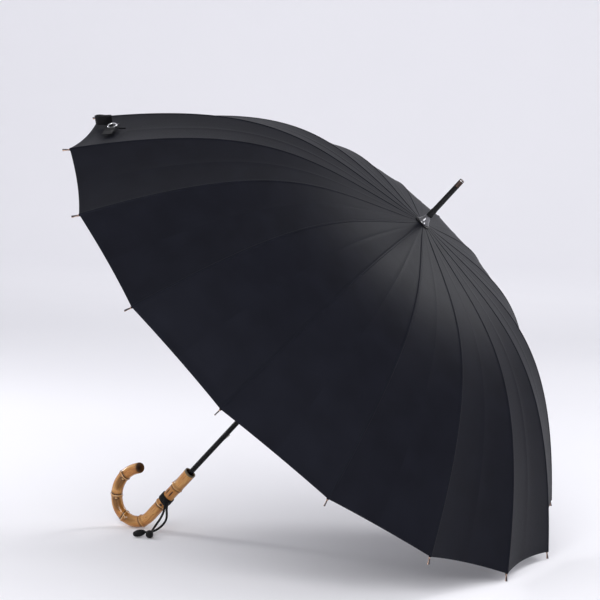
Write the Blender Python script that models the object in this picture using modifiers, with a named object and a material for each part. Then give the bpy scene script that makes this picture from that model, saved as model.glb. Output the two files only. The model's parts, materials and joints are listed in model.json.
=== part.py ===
"""A stick umbrella with a bamboo crook handle, open and lying on two rib tips and the crook's bend.

It is modelled upright around its own shaft, local +Z from handle to ferrule, and the frame empty
leans it over. Heights are along the shaft, from the ring of hem corners. Local +X is the side that
ends up underneath. Distances are in metres.
"""
import math

import bmesh
import bpy
from mathutils import Matrix, Vector

# Driving dimensions.
RIB_COUNT = 16
OPEN_RADIUS = 0.569
CROWN_HEIGHT = 0.2816
CROWN_HOLE_RADIUS = 0.0085
CROWN_SLOPE = math.radians(9.0)
CROWN_REACH = 0.218
HEM_SLOPE = math.radians(48.5)
HEM_REACH = 0.3673
TIP_LENGTH = 0.0132
FERRULE_END = 0.3873
HANDLE_MOUTH = -0.3851

# Canopy cloth.
CLOTH = 0.0008
CANOPY_ROWS = 16
HEM_SCALLOP = 0.008

# Ribs and stretchers.
GAP = 0.0003
RIB_THICKNESS = 0.0016
RIB_HALF_HEIGHT = 0.0012
TIP_HALF_HEIGHT = 0.0009
RIB_DEPTH = CLOTH + 0.0006 + RIB_HALF_HEIGHT
STRETCHER_THICKNESS = 0.0012
STRETCHER_HALF_HEIGHT = 0.0011
STRETCHER_SHIFT = (RIB_THICKNESS + STRETCHER_THICKNESS) / 2 + GAP
PIVOT_RADIUS = 0.009
PIVOT_DROP = 0.0045
EYE_RADIUS = 0.00115
EYE_HOLE = 0.0005
ELBOW_AT = 0.495
ELBOW_DROP = 0.0034
LUG_RADIUS = 0.0017
RIVET_RADIUS = 0.0006
RIVET_HOLE = 0.0009
KNUCKLE_AFTER = 0.009
KNUCKLE_GAP = 0.00045

# Shaft, its catches, the notch and the runner.
SHAFT_RADIUS = 0.005
SPIGOT_RADIUS = 0.003
RUNNING_GAP = 0.00035
BORE_RADIUS = SHAFT_RADIUS + RUNNING_GAP
SHAFT_INSERT = 0.036
SLOT_INNER = 0.0073
SLOT_CLEARANCE = 0.0003
RING_RADIUS = 0.0115
COLLAR_RADIUS = 0.0068
RUNNER_TUBE_RADIUS = 0.0078
RUNNER_LENGTH = 0.044
RUNNER_WINDOW = (0.0095, 0.0325)
CATCH_THICKNESS = 0.0009
CATCH_LENGTH = 0.020
CATCH_NOSE = 0.0016
CATCH_TRAVEL = 0.0017
CATCH_BACK = -0.001
KEYWAY_RADIUS = 0.0069
CATCH_TURN = math.pi / RIB_COUNT
CLOSED_ANGLE = math.radians(2.0)
NOTCH_DROP = 0.0028
NOTCH_COLLAR = 0.015
NOTCH_FLANGE = 0.0012
CHAMFER = 0.001
RUNNER_TOP = 0.002
RUNNER_FLOOR = EYE_RADIUS + 0.0004
RUNNER_HEAD = 0.0016
RUNNER_NECK = 0.0032
RUNNER_GRIP_RADIUS = 0.0098
RUNNER_GRIP = 0.004

# Crown cap and ferrule.
CAP_HEIGHT = 0.016
CAP_RADIUS = 0.0125
CAP_TOP_RADIUS = 0.0066
CAP_WALL = 0.0012
CAP_LIFT = 0.0008
FERRULE_BASE_RADIUS = 0.0054
FERRULE_TIP_RADIUS = 0.0046
FERRULE_TIP_LENGTH = 0.016
FERRULE_EDGE = 0.0007
SPIGOT_LENGTH = 0.024

# Handle: a straight length, then three arcs of the crook, each (radius, turn).
HANDLE_RADIUS = 0.0112
HANDLE_END_RADIUS = 0.0104
HANDLE_STRAIGHT = 0.124
CROOK_ARCS = (
    (0.042, math.radians(121)),
    (0.0575, math.radians(82)),
    (0.087, math.radians(11)),
)
BAMBOO_NODES = (0.041, 0.089, 0.143, 0.185, 0.231, 0.274)
NODE_SWELL = 0.0015
NODE_HALF_WIDTH = 0.004

# Wrist cord: a binding round the handle and two loose ends, routed in the leaned frame.
WRAP_FROM = 0.0655
WRAP_TO = 0.081
WRAP_INNER = 0.0114
WRAP_OUTER = 0.0128
WRAP_EDGE = 0.0005
CORD_RADIUS = 0.0021
TOGGLE_CORD = (
    (-0.3000, -0.0105, 0.0556),
    (-0.2972, -0.0148, 0.0510),
    (-0.2964, -0.0178, 0.0430),
    (-0.2943, -0.0206, 0.0350),
    (-0.2934, -0.0235, 0.0280),
    (-0.2950, -0.0268, 0.0212),
    (-0.2993, -0.0305, 0.0146),
    (-0.3045, -0.0358, 0.0090),
    (-0.3094, -0.0430, 0.0056),
    (-0.3128, -0.0520, 0.0048),
    (-0.3142, -0.0620, 0.0060),
    (-0.3134, -0.0708, 0.0078),
)
BEAD_CORD = (
    (-0.3038, -0.0113, 0.0558),
    (-0.3018, -0.0150, 0.0511),
    (-0.3012, -0.0183, 0.0436),
    (-0.3026, -0.0217, 0.0350),
    (-0.3056, -0.0257, 0.0263),
    (-0.3084, -0.0307, 0.0195),
    (-0.3095, -0.0372, 0.0143),
    (-0.3085, -0.0452, 0.0112),
    (-0.3058, -0.0540, 0.0096),
    (-0.3022, -0.0635, 0.0085),
    (-0.2985, -0.0735, 0.0080),
    (-0.2966, -0.0800, 0.0079),
)
CORD_STEPS = 3
BEAD_AT = (-0.2954, -0.0851, 0.0079)
BEAD_RADIUS = 0.0074
TOGGLE_FROM = (-0.3137, -0.0720, 0.0080)
TOGGLE_TO = (-0.3232, -0.0940, 0.0066)
TOGGLE_RADIUS = 0.0065

# Tie strap near rib 1: a ribbon rolled up and standing on the cloth, and its end lying beside it.
STRAP_AT = 0.9754
STRAP_FROM_RIB = 0.0655
STRAP_ROLL = (0.014, 0.038, 0.020)
STRAP_TURN = math.radians(22)
STRAP_END = (0.076, 0.020, 0.0016)
STRAP_END_AT = (0.0425, 0.0225)
STRAP_ROUNDING = 0.004

PITCH = 2 * math.pi / RIB_COUNT
RADIAL_PLANE = Matrix.Rotation(math.pi / 2, 4, "X")
UMBRELLA = None
CUTTERS = None
FRAME = None


def clear_scene():
    for item in list(bpy.data.objects):
        bpy.data.objects.remove(item, do_unlink=True)


def new_collection(name):
    collection = bpy.data.collections.new(name)
    bpy.context.scene.collection.children.link(collection)
    return collection


def material(name, colour, roughness, metallic=0.0):
    finish = bpy.data.materials.new(name)
    finish.use_nodes = True
    shader = finish.node_tree.nodes["Principled BSDF"]
    shader.inputs["Base Color"].default_value = (*colour, 1.0)
    shader.inputs["Roughness"].default_value = roughness
    shader.inputs["Metallic"].default_value = metallic
    return finish


def place(name, data, finish, matrix=None):
    """Adds a part to the umbrella, in the upright frame."""
    part = bpy.data.objects.new(name, data)
    UMBRELLA.objects.link(part)
    part.parent = FRAME
    part.matrix_local = matrix or Matrix.Identity(4)
    if not data.materials:
        data.materials.append(finish)
    return part


def cut(part, cutter, operation="DIFFERENCE"):
    """Cuts or joins a mesh part with a hidden tool that sits in the same upright frame."""
    cutter.parent = FRAME
    cutter.hide_render = True
    cutter.display_type = "WIRE"
    modifier = part.modifiers.new(cutter.name, "BOOLEAN")
    modifier.operation = operation
    modifier.solver = "EXACT"
    modifier.object = cutter


def block_cutter(name, blocks):
    """One hidden mesh of boxes, each (low corner, high corner, turn about the shaft)."""
    mesh = bmesh.new()
    for low, high, turn in blocks:
        size = [b - a for a, b in zip(low, high)]
        middle = [(a + b) / 2 for a, b in zip(low, high)]
        matrix = Matrix.Rotation(turn, 4, "Z") @ Matrix.Translation(middle) @ Matrix.Diagonal((*size, 1))
        bmesh.ops.create_cube(mesh, size=1.0, matrix=matrix)
    data = bpy.data.meshes.new(name)
    mesh.to_mesh(data)
    mesh.free()
    cutter = bpy.data.objects.new(name, data)
    CUTTERS.objects.link(cutter)
    return cutter


def turned(name, profile, finish, steps=24, closed=False, matrix=None):
    """A Screw around the shaft of (radius, height) points that run down the outer side."""
    data = bpy.data.meshes.new(name)
    count = len(profile)
    edges = [(i, i + 1) for i in range(count - 1)]
    if closed:
        edges.append((count - 1, 0))
    data.from_pydata([(r, 0.0, z) for r, z in profile], edges, [])
    part = place(name, data, finish, matrix)
    screw = part.modifiers.new("Turn", "SCREW")
    screw.axis = "Z"
    screw.steps = steps
    screw.render_steps = steps
    screw.use_merge_vertices = True
    screw.merge_threshold = 0.00001
    screw.use_smooth_shade = True
    return part


def outline_curve(name, loops, thickness):
    """A flat plate: the first loop is its outline and the others are holes."""
    curve = bpy.data.curves.new(name, "CURVE")
    curve.dimensions = "2D"
    curve.fill_mode = "BOTH"
    curve.extrude = thickness / 2
    for loop in loops:
        spline = curve.splines.new("POLY")
        spline.points.add(len(loop) - 1)
        for point, (x, y) in zip(spline.points, loop):
            point.co = (x, y, 0.0, 1.0)
        spline.use_cyclic_u = True
    return curve


def to_mesh(source):
    """Turns an evaluated part into a welded mesh and removes the source object."""
    bpy.context.view_layer.update()
    evaluated = source.evaluated_get(bpy.context.evaluated_depsgraph_get())
    data = bpy.data.meshes.new_from_object(evaluated)
    data.name = source.name
    welded = bmesh.new()
    welded.from_mesh(data)
    bmesh.ops.remove_doubles(welded, verts=welded.verts, dist=0.000005)
    bmesh.ops.recalc_face_normals(welded, faces=welded.faces)
    welded.to_mesh(data)
    welded.free()
    bpy.data.objects.remove(source, do_unlink=True)
    return data


def canopy_line(t):
    """The cloth's outer line over a rib, (radius, height), from crown (0) to hem corner (1)."""
    start = Vector((CROWN_HOLE_RADIUS, CROWN_HEIGHT))
    end = Vector((OPEN_RADIUS, 0.0))
    first = start + CROWN_REACH * Vector((math.cos(CROWN_SLOPE), -math.sin(CROWN_SLOPE)))
    second = end - HEM_REACH * Vector((math.cos(HEM_SLOPE), -math.sin(HEM_SLOPE)))
    s = 1 - t
    return s**3 * start + 3 * s * s * t * first + 3 * s * t * t * second + t**3 * end


def canopy_slope(t):
    """Unit tangent of the canopy line, pointing to the hem."""
    step = 0.0005
    return (canopy_line(min(t + step, 1.0)) - canopy_line(t - step)).normalized()


def inward(tangent):
    return Vector((tangent.y, -tangent.x))


def under_cloth(t, depth=RIB_DEPTH):
    return canopy_line(t) + depth * inward(canopy_slope(t))


def arc(centre, radius, start, turn, steps):
    """Points from the start angle through the turn, both ends included."""
    points = []
    for i in range(steps + 1):
        angle = start + turn * i / steps
        points.append(centre + radius * Vector((math.cos(angle), math.sin(angle))))
    return points


def circle(centre, radius, steps=8):
    return arc(centre, radius, 0.0, 2 * math.pi * (steps - 1) / steps, steps - 1)


def sides(line, heights):
    """The two edges of a strip along a line of points, with a half height at each point."""
    upper, lower = [], []
    for i, point in enumerate(line):
        ahead = line[min(i + 1, len(line) - 1)]
        behind = line[max(i - 1, 0)]
        normal = inward((ahead - behind).normalized())
        upper.append(point - heights[i] * normal)
        lower.append(point + heights[i] * normal)
    return upper, lower


def angle_of(vector):
    return math.atan2(vector.y, vector.x)


NOTCH_PIVOT = Vector((PIVOT_RADIUS, CROWN_HEIGHT - PIVOT_DROP))
ELBOW = under_cloth(ELBOW_AT, RIB_DEPTH + ELBOW_DROP)
ARM = (ELBOW - NOTCH_PIVOT).length
RUNNER_PIVOT = Vector((PIVOT_RADIUS, 2 * ELBOW.y - NOTCH_PIVOT.y))
RUNNER_CLOSED = NOTCH_PIVOT.y - 2 * ARM * math.cos(CLOSED_ANGLE)
ELBOW_SLOPE = canopy_slope(ELBOW_AT)
KNUCKLE = under_cloth(ELBOW_AT) + KNUCKLE_AFTER * ELBOW_SLOPE
TIP_END = Vector((OPEN_RADIUS, 0.0)) + TIP_LENGTH * canopy_slope(1.0)


def contact_lean():
    """Lean at which the lowest pair of rib tips and the crook's first arc touch one floor."""
    tip_x = TIP_END.x * math.cos(PITCH / 2)
    bend = CROOK_ARCS[0][0]
    centre = Vector((-bend, HANDLE_MOUTH - HANDLE_STRAIGHT))
    across = tip_x - centre.x
    along = TIP_END.y - centre.y
    drop = bend + HANDLE_RADIUS - TIP_HALF_HEIGHT
    return math.atan2(along, across) + math.asin(drop / math.hypot(across, along))


def make_frame():
    """The empty that leans the umbrella and stands it on the floor, centred over the origin."""
    lean = contact_lean()
    turn = Matrix.Rotation(lean, 4, "Y")
    tip_x = TIP_END.x * math.cos(PITCH / 2)
    low = turn @ Vector((tip_x, 0.0, TIP_END.y))
    high = turn @ Vector((-tip_x, 0.0, TIP_END.y))
    frame = bpy.data.objects.new("umbrella_frame", None)
    UMBRELLA.objects.link(frame)
    frame.location = (-(low.x + high.x) / 2, 0.0, TIP_HALF_HEIGHT - low.z)
    frame.rotation_euler = (0.0, lean, 0.0)
    return frame


def rib_turn(number):
    """Ribs are numbered so that 8 and 9 are the lowest pair."""
    return Matrix.Rotation((number - (RIB_COUNT + 1) / 2) * PITCH, 4, "Z")


def pivot_matrix(number, pivot, shift=0.0):
    """Puts a flat plate in its rib's plane, or beside it, with its origin on the pivot."""
    return rib_turn(number) @ Matrix.Translation((pivot.x, shift, pivot.y)) @ RADIAL_PLANE


def stations(low, high):
    inside = [i / CANOPY_ROWS for i in range(1, CANOPY_ROWS + 1)]
    return [t for t in inside if low < t < high]


def make_canopy(finish):
    """Flat gores, each with a fold line at its middle and a hollowed hem, given the cloth's thickness."""
    mesh = bmesh.new()
    columns = []
    for column in range(2 * RIB_COUNT):
        turn = (column + 1) * PITCH / 2
        middle = column % 2 == 1
        reach = 1 - HEM_SCALLOP if middle else 1.0
        squeeze = math.cos(PITCH / 2) if middle else 1.0
        points = []
        for row in range(CANOPY_ROWS + 1):
            line = canopy_line(reach * row / CANOPY_ROWS)
            radius = line.x * squeeze
            points.append(mesh.verts.new((radius * math.cos(turn), radius * math.sin(turn), line.y)))
        columns.append(points)
    for column, points in enumerate(columns):
        following = columns[(column + 1) % len(columns)]
        for row in range(CANOPY_ROWS):
            mesh.faces.new((points[row], points[row + 1], following[row + 1], following[row]))
    data = bpy.data.meshes.new("canopy")
    mesh.to_mesh(data)
    mesh.free()
    part = place("canopy", data, finish)
    solid = part.modifiers.new("Cloth", "SOLIDIFY")
    solid.thickness = CLOTH
    solid.offset = -1.0


def strip(line, heights, ear_at=None):
    """Outline of a bar along a line, round at its start, with an ear for the elbow below it."""
    upper, lower = sides(line, heights)
    if ear_at is not None:
        ear = arc(ELBOW, LUG_RADIUS, angle_of(ELBOW_SLOPE) - math.pi, math.pi, 6)
        lower = lower[: ear_at + 1] + ear + lower[ear_at + 1 :]
    heading = angle_of(line[1] - line[0])
    start = arc(line[0], heights[0], heading - math.pi / 2, -math.pi, 6)
    return upper + list(reversed(lower)) + start[1:-1]


def moved(points, origin):
    return [point - origin for point in points]


def cylinder_tool(name, radius, low, high, centre, matrix, segments=8):
    """A hidden cylinder along the local Z of the given matrix."""
    mesh = bmesh.new()
    at = Matrix.Translation((centre.x, centre.y, (low + high) / 2))
    bmesh.ops.create_cone(
        mesh, cap_ends=True, segments=segments, radius1=radius, radius2=radius, depth=high - low, matrix=at
    )
    data = bpy.data.meshes.new(name)
    mesh.to_mesh(data)
    mesh.free()
    tool = bpy.data.objects.new(name, data)
    CUTTERS.objects.link(tool)
    tool.parent = FRAME
    tool.matrix_local = matrix
    return tool


def rib_inner_mesh(finish):
    """Rib from the notch to just short of the knuckle, with the elbow's lug and rivet below it."""
    elbow = under_cloth(ELBOW_AT)
    stop = KNUCKLE - (RIB_HALF_HEIGHT + KNUCKLE_GAP) * ELBOW_SLOPE
    line = [NOTCH_PIVOT] + [under_cloth(t) for t in stations(0.05, ELBOW_AT - 0.02)]
    line += [elbow - 0.004 * ELBOW_SLOPE, elbow + 0.004 * ELBOW_SLOPE, stop]
    heights = [EYE_RADIUS] + [RIB_HALF_HEIGHT] * (len(line) - 1)
    outline = strip(line, heights, ear_at=len(line) - 3)
    loops = [moved(outline, NOTCH_PIVOT), moved(circle(NOTCH_PIVOT, EYE_HOLE), NOTCH_PIVOT)]
    flat = place("rib_flat", outline_curve("rib_flat", loops, RIB_THICKNESS), finish)
    bar = place("rib_inner", to_mesh(flat), finish)
    end = -(RIB_THICKNESS / 2 + STRETCHER_THICKNESS + 2 * GAP)
    rivet = cylinder_tool("rivet", RIVET_RADIUS, end, RIB_THICKNESS / 4, ELBOW - NOTCH_PIVOT, Matrix())
    cut(bar, rivet, "UNION")
    return to_mesh(bar)


def rib_outer_mesh():
    """Rib from the knuckle to its bare tip, which runs out past the hem corner."""
    hem = under_cloth(1.0)
    end_slope = canopy_slope(1.0)
    line = [KNUCKLE] + [under_cloth(t) for t in stations(ELBOW_AT + 0.03, 0.999)]
    line += [hem, hem + 0.0015 * end_slope, TIP_END - TIP_HALF_HEIGHT * end_slope]
    heights = [RIB_HALF_HEIGHT] * (len(line) - 2) + [RIB_HALF_HEIGHT, TIP_HALF_HEIGHT]
    outline = strip(line, heights)
    heading = angle_of(line[-1] - line[-2])
    nose = arc(line[-1], TIP_HALF_HEIGHT, heading + math.pi / 2, -math.pi, 4)
    outline[len(line) : len(line)] = nose[1:-1]
    return outline_curve("rib_outer", [moved(outline, KNUCKLE)], RIB_THICKNESS)


def stretcher_curve():
    """Straight link from the elbow's rivet to the runner, with an eye at each end."""
    heading = angle_of(RUNNER_PIVOT - ELBOW)
    outer = arc(ELBOW, LUG_RADIUS, heading + math.pi / 2, math.pi, 6)
    inner = arc(RUNNER_PIVOT, EYE_RADIUS, heading - math.pi / 2, math.pi, 6)
    along = (RUNNER_PIVOT - ELBOW).normalized()
    shoulder = ELBOW + 0.006 * along
    across = STRETCHER_HALF_HEIGHT * Vector((-along.y, along.x))
    outline = outer + [shoulder - across] + inner + [shoulder + across]
    holes = [circle(ELBOW, RIVET_HOLE), circle(RUNNER_PIVOT, EYE_HOLE)]
    return outline_curve("stretcher", [moved(loop, ELBOW) for loop in [outline] + holes], STRETCHER_THICKNESS)


def make_ribs(steel):
    inner = rib_inner_mesh(steel)
    outer = rib_outer_mesh()
    link = stretcher_curve()
    for number in range(1, RIB_COUNT + 1):
        tag = f"{number:02d}"
        place("rib_inner_" + tag, inner, steel, pivot_matrix(number, NOTCH_PIVOT))
        place("rib_outer_" + tag, outer, steel, pivot_matrix(number, KNUCKLE))
        place("stretcher_" + tag, link, steel, pivot_matrix(number, ELBOW, STRETCHER_SHIFT))


def slots(name, thickness, shift, low, high):
    """One slot a rib, open outwards, each wide enough for a bar of the given thickness."""
    half = thickness / 2 + SLOT_CLEARANCE
    blocks = []
    for number in range(RIB_COUNT):
        turn = (number + 0.5) * PITCH
        blocks.append(((SLOT_INNER, shift - half, low), (RING_RADIUS + 0.001, shift + half, high), turn))
    return block_cutter(name, blocks)


def make_top_notch(plastic):
    top = CROWN_HEIGHT - 2 * CLOTH
    floor = NOTCH_PIVOT.y - NOTCH_DROP
    profile = [
        (RING_RADIUS, top),
        (RING_RADIUS, floor),
        (COLLAR_RADIUS, floor - CHAMFER),
        (COLLAR_RADIUS, floor - NOTCH_COLLAR),
        (BORE_RADIUS, floor - NOTCH_COLLAR),
        (BORE_RADIUS, top),
    ]
    notch = turned("top_notch", profile, plastic, steps=3 * RIB_COUNT, closed=True)
    flange = top - NOTCH_FLANGE
    cut(notch, slots("notch_slots", RIB_THICKNESS, 0.0, floor - 2 * CHAMFER, flange))


def make_runner(plastic):
    """Sliding sleeve with a slot a stretcher, a keyway for the catches and a window for the lower one."""
    pivot = bpy.data.objects.new("runner_pivot", None)
    UMBRELLA.objects.link(pivot)
    pivot.parent = FRAME
    at = pivot_matrix(1, RUNNER_PIVOT, STRETCHER_SHIFT)
    pivot.matrix_local = at
    level = RUNNER_PIVOT.y
    bottom = level - RUNNER_LENGTH
    profile = [
        (RING_RADIUS, level + RUNNER_TOP),
        (RING_RADIUS, level - RUNNER_FLOOR - RUNNER_HEAD),
        (RUNNER_TUBE_RADIUS, level - RUNNER_FLOOR - RUNNER_HEAD - RUNNER_NECK),
        (RUNNER_TUBE_RADIUS, bottom + RUNNER_GRIP + RUNNER_NECK),
        (RUNNER_GRIP_RADIUS, bottom + RUNNER_GRIP),
        (RUNNER_GRIP_RADIUS, bottom),
        (BORE_RADIUS, bottom),
        (BORE_RADIUS, level + RUNNER_TOP),
    ]
    runner = turned("runner", profile, plastic, steps=3 * RIB_COUNT, closed=True)
    cut(runner, slots("runner_slots", STRETCHER_THICKNESS, STRETCHER_SHIFT, level - RUNNER_FLOOR, level + 0.003))
    half = CATCH_THICKNESS / 2 + SLOT_CLEARANCE
    keyway = ((0.003, -half, bottom - 0.001), (KEYWAY_RADIUS, half, level + 0.003), CATCH_TURN)
    cut(runner, block_cutter("runner_keyway", [keyway]))
    window = (
        (0.006, -half - 0.001, level - RUNNER_WINDOW[1]),
        (RING_RADIUS, half + 0.001, level - RUNNER_WINDOW[0]),
        CATCH_TURN,
    )
    cut(runner, block_cutter("runner_window", [window]))
    runner.parent = pivot
    runner.matrix_local = at.inverted()


def catch_tops():
    """Heights of the catches' blunt ends: under the open runner, and in the closed runner's window."""
    upper = RUNNER_PIVOT.y - RUNNER_LENGTH - 2 * GAP
    lower = RUNNER_CLOSED - RUNNER_WINDOW[0] - 2 * GAP
    return {"top_catch": upper, "bottom_catch": lower}


def make_shaft(paint):
    top = CROWN_HEIGHT + CAP_LIFT + CAP_HEIGHT
    profile = [
        (0.0, top + SPIGOT_LENGTH),
        (SPIGOT_RADIUS, top + SPIGOT_LENGTH),
        (SPIGOT_RADIUS, top),
        (SHAFT_RADIUS, top),
        (SHAFT_RADIUS, HANDLE_MOUTH - SHAFT_INSERT),
        (0.0, HANDLE_MOUTH - SHAFT_INSERT),
    ]
    shaft = turned("shaft", profile, paint, steps=24)
    half = CATCH_THICKNESS / 2 + SLOT_CLEARANCE
    inner = CATCH_BACK - CATCH_TRAVEL - SLOT_CLEARANCE
    blocks = []
    for level in catch_tops().values():
        low = level - CATCH_LENGTH - SLOT_CLEARANCE
        blocks.append(((inner, -half, low), (0.007, half, level + SLOT_CLEARANCE), CATCH_TURN))
    cut(shaft, block_cutter("catch_slots", blocks))


def make_catches(steel):
    """Spring catches, thin blades that press into the shaft, blunt at the end towards the crown."""
    flush = SHAFT_RADIUS - 0.0004
    nose = SHAFT_RADIUS + CATCH_NOSE
    outline = [
        Vector(point)
        for point in (
            (CATCH_BACK, -CATCH_LENGTH),
            (flush, -CATCH_LENGTH),
            (nose, -0.005),
            (nose, -0.002),
            (flush, 0.0),
            (CATCH_BACK, 0.0),
        )
    ]
    for name, level in catch_tops().items():
        at = Matrix.Rotation(CATCH_TURN, 4, "Z") @ Matrix.Translation((0.0, 0.0, level)) @ RADIAL_PLANE
        place(name, outline_curve(name, [outline], CATCH_THICKNESS), steel, at)


def make_crown_cap(chrome):
    """Flared cap that pins the cloth down around the shaft."""
    base = CROWN_HEIGHT + CAP_LIFT
    rings = 6
    outer = []
    for i in range(rings + 1):
        share = i / rings
        radius = CAP_TOP_RADIUS + (CAP_RADIUS - CAP_TOP_RADIUS) * share**3
        outer.append((radius, base + CAP_HEIGHT - share * (CAP_HEIGHT - 0.001)))
    outer.append((CAP_RADIUS, base))
    inner = [(max(radius - CAP_WALL, BORE_RADIUS), height) for radius, height in reversed(outer[:-1])]
    inner = [(CAP_RADIUS - CAP_WALL, base)] + inner[1:]
    turned("crown_cap", outer + inner, chrome, steps=32, closed=True)


def make_ferrule(steel):
    base = CROWN_HEIGHT + CAP_LIFT + CAP_HEIGHT + GAP
    bore = SPIGOT_RADIUS + RUNNING_GAP
    profile = [
        (0.0, FERRULE_END),
        (FERRULE_TIP_RADIUS - FERRULE_EDGE, FERRULE_END),
        (FERRULE_TIP_RADIUS, FERRULE_END - FERRULE_EDGE),
        (FERRULE_TIP_RADIUS, FERRULE_END - FERRULE_TIP_LENGTH),
        (FERRULE_BASE_RADIUS, base),
        (bore, base),
        (bore, base + SPIGOT_LENGTH + GAP),
        (0.0, base + SPIGOT_LENGTH + GAP),
    ]
    turned("ferrule", profile, steel, steps=24)


def handle_point(distance):
    """Point of the handle's centre line, (across, height), at a distance from its mouth."""
    point = Vector((0.0, HANDLE_MOUTH))
    heading = -math.pi / 2
    straight = min(distance, HANDLE_STRAIGHT)
    point.y -= straight
    left = distance - straight
    for radius, turn in CROOK_ARCS:
        share = min(left / radius, turn)
        spoke = Vector((math.cos(heading + math.pi / 2), math.sin(heading + math.pi / 2)))
        centre = point - radius * spoke
        heading -= share
        spoke = Vector((math.cos(heading + math.pi / 2), math.sin(heading + math.pi / 2)))
        point = centre + radius * spoke
        left -= share * radius
    return point


def handle_length():
    return HANDLE_STRAIGHT + sum(radius * turn for radius, turn in CROOK_ARCS)


def handle_swell(distance):
    """Handle radius: a slow taper with a ridge at each bamboo node."""
    share = distance / handle_length()
    radius = HANDLE_RADIUS + (HANDLE_END_RADIUS - HANDLE_RADIUS) * share
    for node in BAMBOO_NODES:
        closeness = 1 - abs(distance - node) / NODE_HALF_WIDTH
        radius += NODE_SWELL * max(0.0, closeness)
    return radius


def make_handle(bamboo):
    length = handle_length()
    marks = {0.0, length}
    for i in range(1, 30):
        marks.add(length * i / 30)
    marks = {mark for mark in marks if all(abs(mark - node) > NODE_HALF_WIDTH + 0.002 for node in BAMBOO_NODES)}
    for node in BAMBOO_NODES:
        marks.update((node - NODE_HALF_WIDTH, node, node + NODE_HALF_WIDTH))
    marks = sorted(marks)
    curve = bpy.data.curves.new("handle", "CURVE")
    curve.dimensions = "3D"
    curve.bevel_depth = 1.0
    curve.bevel_resolution = 2
    curve.use_fill_caps = True
    spline = curve.splines.new("POLY")
    spline.points.add(len(marks) - 1)
    for point, mark in zip(spline.points, marks):
        across, height = handle_point(mark)
        point.co = (across, 0.0, height, 1.0)
        point.radius = handle_swell(mark)
    data = to_mesh(place("handle", curve, bamboo))
    handle = place("handle", data, bamboo)
    bore = cylinder_tool(
        "handle_bore", BORE_RADIUS, HANDLE_MOUTH - SHAFT_INSERT - GAP, HANDLE_MOUTH + 0.01,
        Vector((0.0, 0.0)), Matrix(), segments=24,
    )
    cut(handle, bore)


def smooth_route(points, steps):
    """Points of a Catmull-Rom curve through the given ones, with this many steps between them."""
    knots = [Vector(point) for point in points]
    knots = [2 * knots[0] - knots[1]] + knots + [2 * knots[-1] - knots[-2]]
    route = []
    for before, start, end, after in zip(knots, knots[1:], knots[2:], knots[3:]):
        for i in range(steps):
            t = i / steps
            route.append(
                0.5 * (2 * start + (end - before) * t + (2 * before - 5 * start + 4 * end - after) * t * t)
                + 0.5 * (3 * start - before - 3 * end + after) * t**3
            )
    return route + [knots[-2]]


def cord_tube(name, points, finish):
    curve = bpy.data.curves.new(name, "CURVE")
    curve.dimensions = "3D"
    curve.bevel_depth = CORD_RADIUS
    curve.bevel_resolution = 2
    curve.use_fill_caps = True
    route = smooth_route(points, CORD_STEPS)
    spline = curve.splines.new("POLY")
    spline.points.add(len(route) - 1)
    for point, place_at in zip(spline.points, route):
        point.co = (*place_at, 1.0)
    tube = place(name, curve, finish)
    tube.parent = None
    return tube


def make_wrist_cord(cord, plastic):
    """The binding with both loose ends and the knot, which are one cord, and the toggle on the other end."""
    top = HANDLE_MOUTH - WRAP_FROM
    bottom = HANDLE_MOUTH - WRAP_TO
    profile = [
        (WRAP_OUTER - WRAP_EDGE, top),
        (WRAP_OUTER, top - WRAP_EDGE),
        (WRAP_OUTER, bottom + WRAP_EDGE),
        (WRAP_OUTER - WRAP_EDGE, bottom),
        (WRAP_INNER, bottom),
        (WRAP_INNER, top),
    ]
    binding = turned("tassel_cord", profile, cord, steps=24, closed=True)
    for name, points in (("toggle_end", TOGGLE_CORD), ("bead_end", BEAD_CORD)):
        tool = bpy.data.objects.new(name, to_mesh(cord_tube(name, points, cord)))
        CUTTERS.objects.link(tool)
        cut(binding, tool, "UNION")
        tool.parent = None
    mesh = bmesh.new()
    at = Matrix.Translation(BEAD_AT)
    bmesh.ops.create_uvsphere(mesh, u_segments=12, v_segments=8, radius=BEAD_RADIUS, matrix=at)
    data = bpy.data.meshes.new("knot")
    mesh.to_mesh(data)
    mesh.free()
    knot = bpy.data.objects.new("knot", data)
    CUTTERS.objects.link(knot)
    cut(binding, knot, "UNION")
    knot.parent = None

    start = Vector(TOGGLE_FROM)
    axis = Vector(TOGGLE_TO) - start
    length = axis.length
    rings = 8
    profile = []
    for i in range(rings + 1):
        angle = math.pi * i / rings
        radius = TOGGLE_RADIUS * math.sin(angle) ** 0.7 if 0 < i < rings else 0.0
        profile.append((radius, length * (1 + math.cos(angle)) / 2))
    toggle = turned("tassel_toggle", profile, plastic, steps=16)
    toggle.parent = None
    toggle.matrix_local = Matrix.Translation(start) @ axis.to_track_quat("Z", "X").to_matrix().to_4x4()


def strap_block(size, middle, turn):
    """A box that stands on the plane through the origin, turned about its own upright axis."""
    mesh = bmesh.new()
    x, y = middle
    matrix = Matrix.Translation((x, y, size[2] / 2)) @ Matrix.Rotation(turn, 4, "Z")
    bmesh.ops.create_cube(mesh, size=1.0, matrix=matrix @ Matrix.Diagonal((*size, 1)))
    data = bpy.data.meshes.new("tie_strap")
    mesh.to_mesh(data)
    mesh.free()
    return data


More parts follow.
